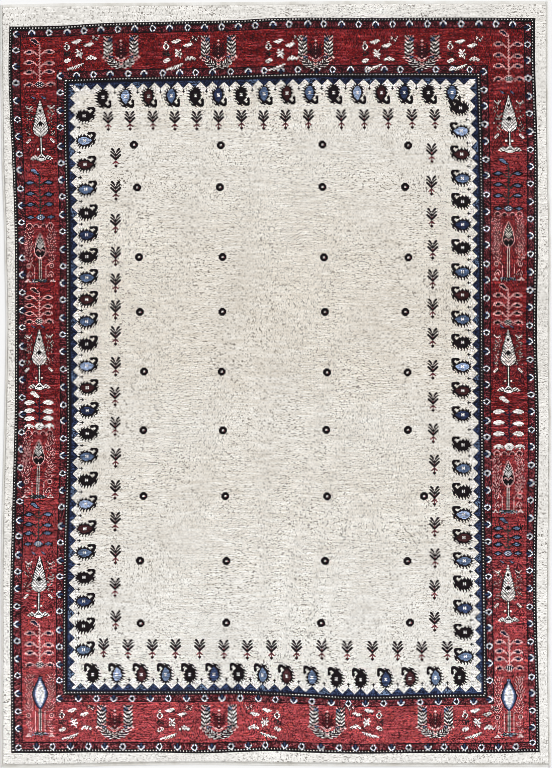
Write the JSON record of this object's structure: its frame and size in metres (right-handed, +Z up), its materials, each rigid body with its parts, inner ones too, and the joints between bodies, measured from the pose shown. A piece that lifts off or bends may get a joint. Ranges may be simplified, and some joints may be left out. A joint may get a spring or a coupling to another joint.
{
  "type": "gabbeh rug",
  "caption": "Hand-knotted wool rug with a cream field of arrow plants and botehs, a red main border of cypresses and wreaths, flat-woven ends and wrapped side cords.",
  "frame": {"origin": "on the floor, under the middle of the rug", "axes": "+Z up out of the pile, +Y along the rug to the end that is at the top of the picture, +X across it to the right"},
  "size_m": [1.722, 2.3961, 0.01],
  "materials": {
    "knotted_wool": "short knotted wool pile, cream field, red border with navy, blue and dark brown motifs, matt with a soft sheen",
    "cream_wool": "cream wool yarn wrapped round a cord, matt"
  },
  "bodies": {
    "root": {"knotted_rug": "knotted_wool", "side_cord_left": "cream_wool", "side_cord_right": "cream_wool"}
  },
  "joints": []
}
